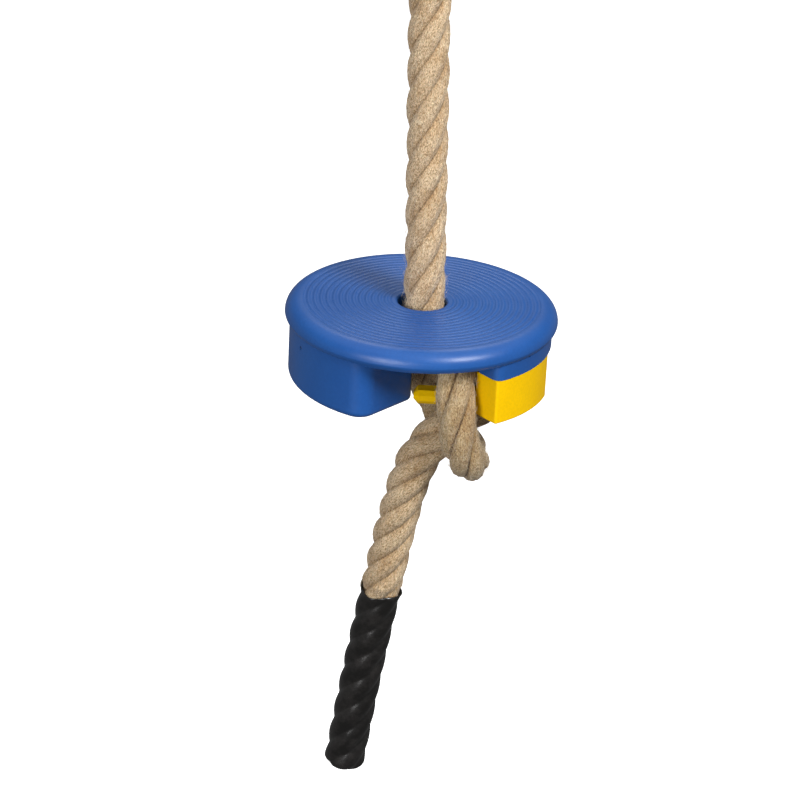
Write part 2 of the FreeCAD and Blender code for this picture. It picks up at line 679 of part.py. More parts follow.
def finger():
    """Bar with chamfered edges and tip that passes behind the knot's front strand."""
    c = FINGER_CHAMFER
    y0, y1 = FINGER_FRONT_Y, FINGER_BACK_Y
    z0, z1 = -FINGER_BOTTOM, -FINGER_TOP
    section = ((y0 + c, z0), (y1 - c, z0), (y1, z0 + c), (y1, z1 - c), (y1 - c, z1), (y0 + c, z1),
               (y0, z1 - c), (y0, z0 + c))
    corners = [V(FINGER_TIP_X, y, z) for y, z in section]
    root_x = LOCK_INNER_X - 4
    bar = Part.Face(Part.makePolygon(corners + corners[:1])).extrude(V(root_x - FINGER_TIP_X, 0, 0))
    tip = [e for e in bar.Edges if abs(e.BoundBox.XMax - FINGER_TIP_X) < 0.01]
    return bar.makeChamfer(FINGER_TIP_CHAMFER, tip)


def slide_keeper():
    """Strip under the runner that holds the slide up in its groove."""
    y0, y1 = keeper_span()
    top = -RUNNER_BOTTOM - FACE_GAP
    strip = box(RUNNER_END_X - 13, LOCK_INNER_X - 1.5, y0, y1, top - KEEPER_T, top)
    strip = round_edges(strip, 4, lambda b, c: b.ZLength > KEEPER_T - 0.5)
    for x, y in keeper_screw_places():
        strip = strip.cut(rod(2.6, (x, y, top - 10), (x, y, top + 1)))
    lane_y = (RUNNER_FRONT_Y + LOCK_BACK_Y) / 2
    return strip.cut(rod(6, (STOP_X, lane_y, top - 10), (STOP_X, lane_y, top + 1)))


def keeper_screws():
    top = -RUNNER_BOTTOM - FACE_GAP - KEEPER_T
    screws = []
    for x, y in keeper_screw_places():
        head = rod(4.5, (x, y, top - 2.6), (x, y, top))
        head = round_edges(head, 1.6, lambda b, c: b.ZMax < top - 2.5)
        drive = rod(1.5, (x, y, top - 3), (x, y, top - 1.2))
        screws.append(head.fuse(rod(2.0, (x, y, top), (x, y, -RUNNER_BOTTOM + 11))).cut(drive))
    return screws


def stop_screw():
    """Shoulder screw in the runner's slot, which ends the slide's travel."""
    lane_y = (RUNNER_FRONT_Y + LOCK_BACK_Y) / 2
    head_top = -RUNNER_BOTTOM - FACE_GAP
    head = rod(5.5, (STOP_X, lane_y, head_top - 4), (STOP_X, lane_y, head_top))
    shoulder = rod(STOP_R, (STOP_X, lane_y, head_top), (STOP_X, lane_y, -LOCK_ROOF))
    thread = rod(2.5, (STOP_X, lane_y, -LOCK_ROOF), (STOP_X, lane_y, -LOCK_ROOF + 13))
    socket = hexagon(4, (STOP_X, lane_y, head_top - 5), (STOP_X, lane_y, head_top - 1.5))
    return head.fuse([shoulder, thread]).cut(socket)


def detent():
    """Spring plunger above the runner: its ball sits in the runner's lane."""
    lane_y = (RUNNER_FRONT_Y + LOCK_BACK_Y) / 2
    ball_z = -LOCK_ROOF + 1.2
    mouth = (DETENT_X, lane_y, -LOCK_ROOF)
    shoulder = (DETENT_X, lane_y, -LOCK_ROOF + 12)
    case = ring(5.5, DETENT_BALL_R + 0.05, mouth, shoulder)
    cap = rod(5.5, shoulder, (DETENT_X, lane_y, -LOCK_ROOF + 15))
    ball = Part.makeSphere(DETENT_BALL_R, V(DETENT_X, lane_y, ball_z))
    return case.fuse(cap).removeSplitter(), ball


# ---------------------------------------------------------------- write the parts
def main():
    os.makedirs("parts", exist_ok=True)
    save("ceiling_bracket", ceiling_bracket())
    hanger_hardware()
    save("swivel_yoke", swivel_yoke())
    save("yoke_bushes", *yoke_bushes())
    swivel_hardware()
    fork_hardware()
    save("clamp_front", clamp_half(-1))
    save("clamp_back", clamp_half(1))
    clamp_hardware()
    rope_and_sleeve()
    save("seat_body", at_seat(seat_body()))
    save("vent_plugs", *[at_seat(plug) for plug in vent_plugs()])
    save("lock_slide", at_seat(lock_slide()))
    save("slide_keeper", at_seat(slide_keeper()))
    save("keeper_screws", *[at_seat(screw) for screw in keeper_screws()])
    save("stop_screw", at_seat(stop_screw()))
    case, ball = detent()
    save("detent_plunger", at_seat(case))
    save("detent_ball", at_seat(ball))


main()
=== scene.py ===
"""Looks of the disc rope swing: laid rope with its knot, shrunk sleeve, moulded seat and hardware."""
import json
import math

import bpy
import numpy as np
from mathutils import Matrix, Vector


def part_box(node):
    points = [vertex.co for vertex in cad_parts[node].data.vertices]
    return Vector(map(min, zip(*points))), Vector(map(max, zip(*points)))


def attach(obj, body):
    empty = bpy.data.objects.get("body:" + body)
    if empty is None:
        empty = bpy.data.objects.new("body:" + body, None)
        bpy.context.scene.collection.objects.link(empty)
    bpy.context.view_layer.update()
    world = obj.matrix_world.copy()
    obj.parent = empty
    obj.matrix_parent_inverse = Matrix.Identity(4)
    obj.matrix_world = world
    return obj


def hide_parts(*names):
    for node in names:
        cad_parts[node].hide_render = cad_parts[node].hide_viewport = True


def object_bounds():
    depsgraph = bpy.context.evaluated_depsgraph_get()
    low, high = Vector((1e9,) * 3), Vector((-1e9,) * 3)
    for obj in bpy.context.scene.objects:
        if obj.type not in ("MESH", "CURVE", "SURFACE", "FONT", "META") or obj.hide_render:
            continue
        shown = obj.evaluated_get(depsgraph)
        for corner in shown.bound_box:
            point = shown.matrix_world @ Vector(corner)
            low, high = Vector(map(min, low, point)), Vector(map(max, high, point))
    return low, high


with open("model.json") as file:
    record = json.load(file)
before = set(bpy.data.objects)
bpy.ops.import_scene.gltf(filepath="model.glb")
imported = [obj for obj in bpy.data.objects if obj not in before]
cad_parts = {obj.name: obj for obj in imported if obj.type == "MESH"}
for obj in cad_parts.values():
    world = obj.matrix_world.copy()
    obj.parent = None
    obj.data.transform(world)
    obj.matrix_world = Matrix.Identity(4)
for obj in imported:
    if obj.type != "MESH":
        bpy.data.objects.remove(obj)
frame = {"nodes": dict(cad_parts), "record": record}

cad_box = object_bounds()
SEAT_LOW, SEAT_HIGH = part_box("seat_body")
SEAT_X = (SEAT_LOW.x + SEAT_HIGH.x) / 2
SEAT_TOP = SEAT_HIGH.z

# ---------------------------------------------------------------- rope dimensions, metres
ROPE_R = 0.0187            # over the crowns of the strands, where the rope is pulled tight
CORE_SHARE = 0.90          # of that radius inside the sleeve
STRANDS = 4
LAY_PHASE = 0.5            # turns the strands about the rope at its top
LOBE = 0.58                # radius of a strand's outer arc over the rope's radius
RING_STEP = 0.0021
AROUND = 208
KNOT_FROM = 0.375          # along the rope, where the knot begins and ends
KNOT_TO = 0.78
INTO_KNOT = 0.06           # lengths over which the strands change there
OUT_OF_KNOT = 0.08
SWELL = 0.00040            # how unevenly thick the strands are
SWELL_RINGS = 14           # rings from one swelling to the next
SWELL_SEED = 31
YARN_RELIEF = 0.00050      # height of the yarns on a strand
FLUFF_RELIEF = 0.00045     # roughness of the matted fibres
FLUFF_SEED = 5
YARNS = 11.0               # pairs of yarn ridges in a turn about the rope
YARN_SKEW = 0.55           # share of the strands' twist that the yarns lag behind
PINCH_FROM = 0.84          # closeness to a crease where the skin begins to dip
PINCH_WIDTH = 0.16

FIBRES = 5000
FIBRE_SEED = 7
FIBRE_FROM_RING = 8        # the first rings, inside the clamp, have none
FIBRE_GAP = 0.004          # and they stop this far short of the sleeve
FIBRE_JOINTS = 5           # points along one loose fibre
THIRDS = (0.0, 2.0944, 4.18879)    # its three corners around
FIBRE_R = 0.00013          # at its root
FIBRE_TAPER = 0.75         # share of that lost at its tip
FIBRE_ROOT = 0.95          # share of the rope's radius where it begins
FIBRE_LENGTH = (0.003, 0.011)
FIBRE_LIFT = (0.04, 0.55)  # how far it stands off, over its length
FIBRE_ALONG = 1.0          # scatter of its heading along the rope and around it
FIBRE_AROUND = 0.55
FIBRE_CURL = 0.25

# Each of these has a value for the taut part, one for the knot and one for the loose tail.
SHARE = (1.0, 0.945, 1.03)         # of the rope's radius
LAY = (0.1342, 0.165, 0.112)       # length of one turn of a strand
GAPE = (0.06, 0.16, 0.08)          # depth of the opened creases over the radius
# painted shade darkening the creases, strongest in the knot
CREASE_SHADE = (0.88, 1.0, 0.90)
KNOT_SHADE = (0.0, 1.0, 0.25)         # painted shade over the knot, which hangs in the seat's shade, and a little over the tail

# The rope's route, in millimetres from the middle of the seat's top face, as in the CAD part,
# with a point on the long straight run near the corner that ends it.
ROUTE_MM = (
    (-8, 0, 336),
    (-8, 0, 300),
    (2.9, 0, -16),
    (4.2, 0, -66),
    (21.5, 3, -111.5),
    (48, -10, -136),
    (54, -62, -136),
    (41, -88, -107),
    (33, -88, -49.5),
    (35, -69, -32.8),
    (57.5, -6, -33.5),
    (66, 13, -52.5),
    (66.8, 13, -78.5),
    (63, -11, -96),
    (32.3, -44, -101),
    (7, -46, -128),
    (-5.3, -43, -165.2),
    (-17.2, -36, -232.4),
    (-32.6, -29, -330.8),
    (-42.6, -27, -399),
    (-53.0, -28.1, -478.4),
)
SLEEVE_LENGTH = 0.200
SLEEVE_R = 0.0193
SLEEVE_T = 0.0013
SLEEVE_LOBE = 0.69         # softer strands than the rope's own
SLEEVE_AROUND = 128
SLEEVE_SLACK = 1.012       # of the radius over the strands' crowns
MOUTH_RINGS = 6            # rings of the sleeve's mouth that also have an inner face
MOUTH_FLARE = 0.0011
MOUTH_REACH = 0.004        # how far back the flare and the slanted cut die away
END_REACH = 0.010          # length of the rounded far end
END_DRAW = 0.90            # how nearly it closes, in area
CORE_GAP = 0.012           # the rope stops this far short of the sleeve's end


# ---------------------------------------------------------------- shader helpers
def new_material(name):
    material = bpy.data.materials.new(name)
    material.use_nodes = True
    tree = material.node_tree
    return material, tree, tree.nodes["Principled BSDF"]


def node(tree, kind, **values):
    """Add a node; values are its inputs by name, with underscores for spaces, or its own settings."""
    made = tree.nodes.new(kind)
    for key, value in values.items():
        label = key.replace("_", " ")
        if label in made.inputs:
            made.inputs[label].default_value = value
        else:
            setattr(made, key, value)
    return made


def ramp(tree, source, stops):
    """Colour ramp over a value output; stops are (place, colour)."""
    made = tree.nodes.new("ShaderNodeValToRGB")
    elements = made.color_ramp.elements
    while len(elements) < len(stops):
        elements.new(0.5)
    for element, (place, colour) in zip(elements, stops):
        element.position = place
        element.color = (*colour, 1.0)
    tree.links.new(source, made.inputs["Fac"])
    return made.outputs["Color"]


def grey(value):
    return (value, value, value)


def object_coords(tree, scale):
    coords = tree.nodes.new("ShaderNodeTexCoord")
    mapping = tree.nodes.new("ShaderNodeMapping")
    mapping.inputs["Scale"].default_value = scale
    tree.links.new(coords.outputs["Object"], mapping.inputs["Vector"])
    return mapping.outputs["Vector"]


def noise(tree, vector, scale, detail=3.0, rough=0.5):
    made = node(tree, "ShaderNodeTexNoise", Scale=scale, Detail=detail, Roughness=rough)
    tree.links.new(vector, made.inputs["Vector"])
    return made.outputs["Fac"]


def bump(tree, shader, height, strength, distance, normal=None):
    made = node(tree, "ShaderNodeBump", Strength=strength, Distance=distance)
    tree.links.new(height, made.inputs["Height"])
    if normal is not None:
        tree.links.new(normal, made.inputs["Normal"])
    tree.links.new(made.outputs["Normal"], shader.inputs["Normal"])
    return made.outputs["Normal"]


def mix(tree, kind, factor, a, b):
    """Blend two colour outputs; sockets 0, 6 and 7 are the factor and the colours, 2 is the result."""
    made = tree.nodes.new("ShaderNodeMix")
    made.data_type = "RGBA"
    made.blend_type = kind
    made.clamp_result = True
    made.inputs[0].default_value = factor
    tree.links.new(a, made.inputs[6])
    tree.links.new(b, made.inputs[7])
    return made.outputs[2]


# ---------------------------------------------------------------- materials
def moulded_plastic(name, dark, middle, light, roughness, specular):
    """Satin moulded plastic: faint flow mottling, fine pebble and rubbed patches."""
    material, tree, shader = new_material(name)
    coords = object_coords(tree, (1, 1, 1))
    cloud = noise(tree, coords, 9.0, 4.0, 0.6)
    colour = ramp(tree, cloud, [(0.30, dark), (0.52, middle), (0.75, light)])
    speck = ramp(tree, noise(tree, coords, 420.0, 2.0), [(0.35, grey(0.93)), (0.65, grey(1.0))])
    tree.links.new(mix(tree, "MULTIPLY", 1.0, colour, speck), shader.inputs["Base Color"])
    rubs = noise(tree, coords, 60.0, 3.0, 0.6)
    low, high = roughness
    tree.links.new(ramp(tree, rubs, [(0.35, grey(low)), (0.70, grey(high))]), shader.inputs["Roughness"])
    pebble = noise(tree, coords, 900.0, 2.0, 0.5)
    fine = bump(tree, shader, pebble, 0.10, 0.0002)
    bump(tree, shader, cloud, 0.12, 0.0015, fine)
    shader.inputs["Specular IOR Level"].default_value = specular
    return material


def rope_fibre(name):
    """Laid natural fibre: streaks along the yarns, slanting hairs, flecks, painted shade in the creases and
    painted shade over the knot.
    """
    material, tree, shader = new_material(name)
    coords = tree.nodes.new("ShaderNodeUVMap")
    coords.uv_map = "yarn"
    mapping = node(tree, "ShaderNodeMapping")
    mapping.inputs["Scale"].default_value = (230.0, 1500.0, 1.0)
    tree.links.new(coords.outputs["UV"], mapping.inputs["Vector"])
    streak = noise(tree, mapping.outputs["Vector"], 1.0, 5.0, 0.65)
    broad = noise(tree, object_coords(tree, (1, 1, 1)), 45.0, 4.0, 0.6)
    colour = ramp(tree, streak, [(0.36, (0.44, 0.295, 0.155)), (0.49, (0.93, 0.690, 0.445)),
                                 (0.60, (1.0, 0.880, 0.640))])
    patch = ramp(tree, broad, [(0.36, (0.80, 0.72, 0.62)), (0.56, (1.0, 1.0, 1.0))])
    colour = mix(tree, "MULTIPLY", 1.0, colour, patch)
    fleck = noise(tree, object_coords(tree, (1, 1, 1)), 620.0, 3.0, 0.65)
    flecked = ramp(tree, fleck, [(0.40, (0.62, 0.54, 0.44)), (0.50, grey(1.0))])
    colour = mix(tree, "MULTIPLY", 1.0, colour, flecked)
    slant = node(tree, "ShaderNodeMapping")
    slant.inputs["Rotation"].default_value = (0.0, 0.0, 0.6)
    slant.inputs["Scale"].default_value = (420.0, 1300.0, 1.0)
    tree.links.new(coords.outputs["UV"], slant.inputs["Vector"])
    hairs = noise(tree, slant.outputs["Vector"], 1.0, 4.0, 0.7)
    haired = ramp(tree, hairs, [(0.40, (0.54, 0.47, 0.37)), (0.53, grey(1.0))])
    colour = mix(tree, "MULTIPLY", 1.0, colour, haired)
    # the crease attribute carries painted shade: the colour is darkened towards each crease between the
    # strands
    crease = node(tree, "ShaderNodeAttribute", attribute_name="crease")
    crease_shade = ramp(tree, crease.outputs["Fac"], [(0.0, (1.0, 1.0, 1.0)), (0.60, (0.88, 0.82, 0.74)),
                                               (1.0, (0.11, 0.065, 0.03))])
    colour = mix(tree, "MULTIPLY", 1.0, colour, crease_shade)
    # painted shade: the knot, and a little of the tail, are darkened and greyed as if in the seat's shade
    knot_shade = node(tree, "ShaderNodeAttribute", attribute_name="knot_shade")
    shaded_knot = ramp(tree, knot_shade.outputs["Fac"], [(0.0, grey(1.0)), (1.0, (0.80, 0.79, 0.70))])
    tree.links.new(mix(tree, "MULTIPLY", 1.0, colour, shaded_knot), shader.inputs["Base Color"])
    shader.inputs["Roughness"].default_value = 0.78
    shader.inputs["Specular IOR Level"].default_value = 0.22
    shader.inputs["Sheen Weight"].default_value = 0.25
    shader.inputs["Sheen Roughness"].default_value = 0.5
    rough = bump(tree, shader, streak, 1.0, 0.0011)
    bump(tree, shader, hairs, 1.0, 0.0011, rough)
    return material


def loose_fibre():
    """Paler fibre for the loose ends."""
    material, tree, shader = new_material("loose_fibre_look")
    tone = noise(tree, object_coords(tree, (1, 1, 1)), 90.0, 2.0)
    tree.links.new(ramp(tree, tone, [(0.3, (0.66, 0.50, 0.32)), (0.7, (0.95, 0.82, 0.62))]),
                   shader.inputs["Base Color"])
    shader.inputs["Roughness"].default_value = 0.6
    shader.inputs["Sheen Weight"].default_value = 0.3
    return material


def shrunk_sleeve():
    """Black shrink tubing: soft gloss, faint dust and pinched wrinkles."""
    material, tree, shader = new_material("black_sleeve_look")
    coords = object_coords(tree, (1, 1, 1))
    dust = noise(tree, coords, 60.0, 5.0, 0.7)
    colour = ramp(tree, dust, [(0.45, (0.006, 0.0055, 0.005)), (0.78, (0.026, 0.023, 0.022))])
    tree.links.new(colour, shader.inputs["Base Color"])
    tree.links.new(ramp(tree, dust, [(0.35, grey(0.20)), (0.75, grey(0.30))]), shader.inputs["Roughness"])
    wrinkle = noise(tree, object_coords(tree, (1, 1, 0.35)), 130.0, 3.0, 0.55)
    bump(tree, shader, wrinkle, 0.20, 0.0012)
    shader.inputs["Specular IOR Level"].default_value = 0.60
    return material


def metal(name, dark, light, roughness, scale):
    """Plated or galvanised steel: patches of tone, scratches and a slightly uneven skin."""
    material, tree, shader = new_material(name)
    coords = object_coords(tree, (1, 1, 1))
    cells = node(tree, "ShaderNodeTexVoronoi", Scale=scale)
    tree.links.new(coords, cells.inputs["Vector"])
    patches = noise(tree, coords, scale * 0.6, 4.0, 0.6)
    tone = mix(tree, "MIX", 0.5, cells.outputs["Color"], patches)
    tree.links.new(ramp(tree, tone, [(0.30, dark), (0.70, light)]), shader.inputs["Base Color"])
    low, high = roughness
    scratches = noise(tree, object_coords(tree, (40, 40, 600)), 1.0, 3.0, 0.6)
    worn = ramp(tree, scratches, [(0.35, grey(low)), (0.70, grey(high))])
    tree.links.new(worn, shader.inputs["Roughness"])
    bump(tree, shader, patches, 0.25, 0.0004)
    shader.inputs["Metallic"].default_value = 1.0
    return material


def dark_rubber():
    material, tree, shader = new_material("dark_rubber_look")
    grain = noise(tree, object_coords(tree, (1, 1, 1)), 700.0, 3.0)
    tree.links.new(ramp(tree, grain, [(0.3, grey(0.012)), (0.7, grey(0.030))]), shader.inputs["Base Color"])
    shader.inputs["Roughness"].default_value = 0.8
    bump(tree, shader, grain, 0.4, 0.0003)
    return material


def dress_cad_nodes():
    """Give every carried-over CAD node the material of its slot."""
    looks = {
        "blue_plastic": moulded_plastic("blue_plastic_look", (0.012, 0.078, 0.300), (0.014, 0.087, 0.322),
                                        (0.017, 0.097, 0.345), (0.32, 0.40), 0.42),
        "yellow_plastic": moulded_plastic("yellow_plastic_look", (0.88, 0.52, 0.001), (0.93, 0.56, 0.001),
                                          (0.96, 0.60, 0.002), (0.40, 0.52), 0.10),
        "galvanised_steel": metal("galvanised_look", (0.15, 0.16, 0.17), (0.31, 0.32, 0.335),
                                  (0.54, 0.70), 190.0),
        "zinc_hardware": metal("zinc_look", (0.26, 0.265, 0.275), (0.42, 0.425, 0.43),
                               (0.38, 0.52), 320.0),
        "stainless_sheet": metal("stainless_look", (0.34, 0.34, 0.34), (0.46, 0.46, 0.45),
                                 (0.34, 0.48), 240.0),
        "bearing_steel": metal("bearing_look", (0.48, 0.49, 0.51), (0.60, 0.61, 0.63), (0.20, 0.28), 300.0),
        "bronze": metal("bronze_look", (0.42, 0.26, 0.11), (0.62, 0.41, 0.19), (0.25, 0.42), 260.0),
        "dark_rubber": dark_rubber(),
    }
    for entry in frame["record"]["subparts"]:
        look = looks.get(entry["material_slot"])
        if look is None:
            continue
        for slot in frame["nodes"][entry["node"]].material_slots:
            slot.material = look


# ---------------------------------------------------------------- the rope's line
def route_points():
    """The route's NURBS spline, read back as evenly spaced points."""
    curve = bpy.data.curves.new("rope_route", "CURVE")
    curve.dimensions = "3D"
    curve.resolution_u = 24
    spline = curve.splines.new("NURBS")
    spline.points.add(len(ROUTE_MM) - 1)
    for point, (x, y, z) in zip(spline.points, ROUTE_MM):
        point.co = (SEAT_X + x / 1000, y / 1000, SEAT_TOP + z / 1000, 1.0)
    spline.order_u = 3
    spline.use_endpoint_u = True
    holder = bpy.data.objects.new("rope_route", curve)
    line = bpy.data.meshes.new_from_object(holder)
    raw = np.array([v.co[:] for v in line.vertices])
    bpy.data.objects.remove(holder)
    bpy.data.curves.remove(curve)
    bpy.data.meshes.remove(line)
    steps = np.linalg.norm(np.diff(raw, axis=0), axis=1)
    along = np.concatenate([[0.0], np.cumsum(steps)])
    count = int(along[-1] / RING_STEP) + 1
    wanted = np.linspace(0, along[-1], count)
    points = np.stack([np.interp(wanted, along, raw[:, k]) for k in range(3)], axis=1)
    return points, wanted


def carried_frames(points):
    """Two side directions at each point, carried along the line without twist."""
    tangents = np.gradient(points, axis=0)
    tangents /= np.linalg.norm(tangents, axis=1)[:, None]
    side = np.array([1.0, 0.0, 0.0])
    sides = []
    for tangent in tangents:
        side = side - tangent * side.dot(tangent)
        side /= np.linalg.norm(side)
        sides.append(side)
    sides = np.array(sides)
    return tangents, sides, np.cross(tangents, sides)


def grid_mesh(name, grid):
    """Mesh tube from rings of points, with its ends closed by fans."""
    rings, around = grid.shape[:2]
    index = np.arange(rings * around).reshape(rings, around)
    a = index[:-1]
    b = index[1:]
    quads = np.stack([a, np.roll(a, -1, axis=1), np.roll(b, -1, axis=1), b], axis=-1).reshape(-1, 4)
    faces = quads.tolist()
    first, last = rings * around, rings * around + 1
    verts = np.vstack([grid.reshape(-1, 3), grid[0].mean(axis=0), grid[-1].mean(axis=0)])
    for k in range(around):
        n = (k + 1) % around
        faces.append([int(index[0, n]), int(index[0, k]), first])
        faces.append([int(index[-1, k]), int(index[-1, n]), last])
    mesh = bpy.data.meshes.new(name)
    mesh.from_pydata(verts.tolist(), [], faces)
    mesh.polygons.foreach_set("use_smooth", [True] * len(mesh.polygons))
    mesh.update()
    obj = bpy.data.objects.new(name, mesh)
    bpy.context.scene.collection.objects.link(obj)
    return obj


def smooth_step(x):
    x = np.clip(x, 0.0, 1.0)
    return x * x * (3 - 2 * x)


def lobed(angle, lobe):
    """Section of the stranded rope at an angle from a strand's crown: radius factor, and closeness
    to a crease."""
    sector = 2 * math.pi / STRANDS
    off = (angle + sector / 2) % sector - sector / 2
    reach = 1 - lobe
    factor = reach * np.cos(off) + np.sqrt(lobe ** 2 - (reach * np.sin(off)) ** 2)
    crease = np.abs(off) / (sector / 2)
    return factor, crease


def by_stretch(along, values):
    """Value along the rope: one in the taut part, one in the knot and one in the tail."""
    taut, knot, free = values
    into = smooth_step((along - KNOT_FROM) / INTO_KNOT)
    out = smooth_step((along - KNOT_TO) / OUT_OF_KNOT)
    return taut + (knot - taut) * into + (free - knot) * out


def twist_along(along):
    """Turn of the strands about the rope, which are laid longer or shorter by stretch."""
    lay = by_stretch(along, LAY)
    steps = np.diff(along, prepend=0.0) / lay
    return 2 * math.pi * (np.cumsum(steps) + LAY_PHASE / STRANDS)


def wander(count, step, seed):
    """Smooth random walk between -1 and 1, to make hand-made things uneven."""
    generator = np.random.default_rng(seed)
    knots = generator.uniform(-1, 1, int(count / step) + 4)
    place = np.linspace(0, len(knots) - 3, count)
    low = place.astype(int)
    blend = smooth_step(place - low)
    return knots[low] * (1 - blend) + knots[low + 1] * blend


def make_rope(points, along, look):
    """Four-strand laid rope as one skin, with its yarns and creases modelled."""
    tangents, sides, ups = carried_frames(points)
    twist = twist_along(along)
    angles = np.linspace(0, 2 * math.pi, AROUND, endpoint=False)
    place = angles[None, :] - twist[:, None]
    factor, crease = lobed(place, LOBE)
    strand = np.floor((place / (2 * math.pi / STRANDS)) + 0.5).astype(int) % STRANDS
    swell = np.stack([wander(len(points), SWELL_RINGS, SWELL_SEED + k) for k in range(STRANDS)])
    uneven = swell[strand, np.arange(len(points))[:, None]]
    yarn_turn = place + YARN_SKEW * twist[:, None]
    yarns = np.abs(np.sin(yarn_turn * YARNS + 0.9 * uneven))
    generator = np.random.default_rng(FLUFF_SEED)
    fluff = generator.uniform(-1, 1, factor.shape)
    fluff = (fluff + np.roll(fluff, 1, axis=1) + np.roll(fluff, 1, axis=0)) / 3
    pinch = np.clip((crease - PINCH_FROM) / PINCH_WIDTH, 0, 1) ** 1.5
    gape = by_stretch(along, GAPE)[:, None]
    neck = along[-1] + 0.004 - SLEEVE_LENGTH    # just before the sleeve's mouth
    covered = smooth_step((along - neck) / 0.006)
    share = by_stretch(along, SHARE) * (1 - (1 - CORE_SHARE) * covered)
    radius = ROPE_R * share[:, None] * (factor - gape * pinch)
    radius = radius + SWELL * uneven + YARN_RELIEF * (yarns - 0.6) + FLUFF_RELIEF * fluff
    grid = (points[:, None, :]
            + sides[:, None, :] * (radius * np.cos(angles))[..., None]
            + ups[:, None, :] * (radius * np.sin(angles))[..., None])
    rope = grid_mesh("laid_rope", grid)
    rope.data.materials.append(look)
    paint_rope(rope, along, yarn_turn, crease)
    return rope


def paint_rope(rope, along, yarn_turn, crease):
    """Store the painted shade of the creases, the painted shade over the knot, and UVs that run along the
    yarns.
    """
    mesh = rope.data
    # painted shade in the creases, stronger in the knot
    dark = crease ** 4 * by_stretch(along, CREASE_SHADE)[:, None]
    values = np.concatenate([dark.ravel(), [1.0, 1.0]]).astype(np.float32)
    layer = mesh.attributes.new("crease", "FLOAT", "POINT")
    layer.data.foreach_set("value", values)
    # painted shade over the knot and tail, stored per ring
    knot_shade = np.repeat(by_stretch(along, KNOT_SHADE), AROUND)
    layer = mesh.attributes.new("knot_shade", "FLOAT", "POINT")
    layer.data.foreach_set("value", np.concatenate([knot_shade, [0.0, 0.25]]).astype(np.float32))
    loops = np.empty(len(mesh.loops), dtype=np.int32)
    mesh.loops.foreach_get("vertex_index", loops)
    around_length = (yarn_turn * ROPE_R).ravel()
    u = np.concatenate([np.repeat(along, AROUND), [0.0, along[-1]]])
    v = np.concatenate([around_length, [0.0, 0.0]])
    uv = mesh.uv_layers.new(name="yarn")
    pairs = np.stack([u[loops], v[loops]], axis=1).astype(np.float32)
    uv.data.foreach_set("uv", pairs.ravel())


def make_sleeve(points, along, look):
    """Shrink tubing over the last stretch of the rope: softened strands show through it."""
    start = along[-1] - SLEEVE_LENGTH
    keep = np.flatnonzero(along >= start)
    tangents, sides, ups = (side[keep] for side in carried_frames(points))
    centre = points[keep]
    local = (along[keep] - start) / SLEEVE_LENGTH
    angles = np.linspace(0, 2 * math.pi, SLEEVE_AROUND, endpoint=False)
    factor, _ = lobed(angles[None, :] - twist_along(along)[keep][:, None], SLEEVE_LOBE)
    mouth = np.exp(-local[:, None] * SLEEVE_LENGTH / MOUTH_REACH)
    ragged = 0.0006 * np.sin(angles * 3 + 1.0) + 0.0004 * np.sin(angles * 7)
    radius = SLEEVE_R * factor * SLEEVE_SLACK + (MOUTH_FLARE + ragged[None, :]) * mouth
    end = np.clip((1 - local) * SLEEVE_LENGTH / END_REACH, 0, 1)
    radius = radius * np.sqrt(1 - (1 - end[:, None]) ** 2 * END_DRAW)
    slip = (0.0018 * np.sin(angles + 0.8) + 0.0008 * np.sin(angles * 3))[None, :] * mouth

    def rings(which, radius):
        return (centre[which][:, None, :] + tangents[which][:, None, :] * slip[which][..., None]
                + sides[which][:, None, :] * (radius * np.cos(angles))[..., None]
                + ups[which][:, None, :] * (radius * np.sin(angles))[..., None])

    turned_in = np.arange(MOUTH_RINGS)[::-1]
    inner = rings(turned_in, radius[turned_in] - SLEEVE_T)
    outer = rings(np.arange(len(keep)), radius)
    sleeve = grid_mesh("shrunk_sleeve", np.concatenate([inner, outer]))
    sleeve.data.materials.append(look)
    return sleeve


def make_fibres(points, along, look):
    """Loose fibre ends that stand off the rope's skin."""
    generator = np.random.default_rng(FIBRE_SEED)
    tangents, sides, ups = carried_frames(points)
    bare = np.flatnonzero(along < along[-1] - SLEEVE_LENGTH - FIBRE_GAP)
    share = by_stretch(along, SHARE)
    verts, faces = [], []
    for _ in range(FIBRES):
        k = int(generator.choice(bare[FIBRE_FROM_RING:]))
        angle = generator.uniform(0, 2 * math.pi)
        out = sides[k] * math.cos(angle) + ups[k] * math.sin(angle)
        across = np.cross(tangents[k], out)
        heading = (tangents[k] * generator.normal(0, FIBRE_ALONG)
                   + across * generator.normal(0, FIBRE_AROUND))
        heading /= np.linalg.norm(heading)
        length = generator.uniform(*FIBRE_LENGTH)
        lift = generator.uniform(*FIBRE_LIFT)
        foot = points[k] + out * ROPE_R * share[k] * FIBRE_ROOT
        curl = across * generator.normal(0, FIBRE_CURL)
        base = len(verts)
        for j in range(FIBRE_JOINTS):
            t = j / (FIBRE_JOINTS - 1)
            place = foot + (heading * t + out * lift * t * (1.35 - 0.5 * t) + curl * t * t) * length
            width = FIBRE_R * (1 - FIBRE_TAPER * t)
            for turn in THIRDS:
                verts.append(place + (across * math.cos(turn) + out * math.sin(turn)) * width)
        for j in range(FIBRE_JOINTS - 1):
            for c in range(3):
                a = base + 3 * j + c
                b = base + 3 * j + (c + 1) % 3
                faces.append((a, b, b + 3, a + 3))
        tip = base + 3 * (FIBRE_JOINTS - 1)
        faces.append((base + 2, base + 1, base))
        faces.append((tip, tip + 1, tip + 2))
    mesh = bpy.data.meshes.new("rope_fibres")
    mesh.from_pydata([tuple(v) for v in verts], [], faces)
    mesh.polygons.foreach_set("use_smooth", [True] * len(mesh.polygons))
    mesh.update()
    fibres = bpy.data.objects.new("rope_fibres", mesh)
    bpy.context.scene.collection.objects.link(fibres)
    fibres.data.materials.append(look)
    return fibres


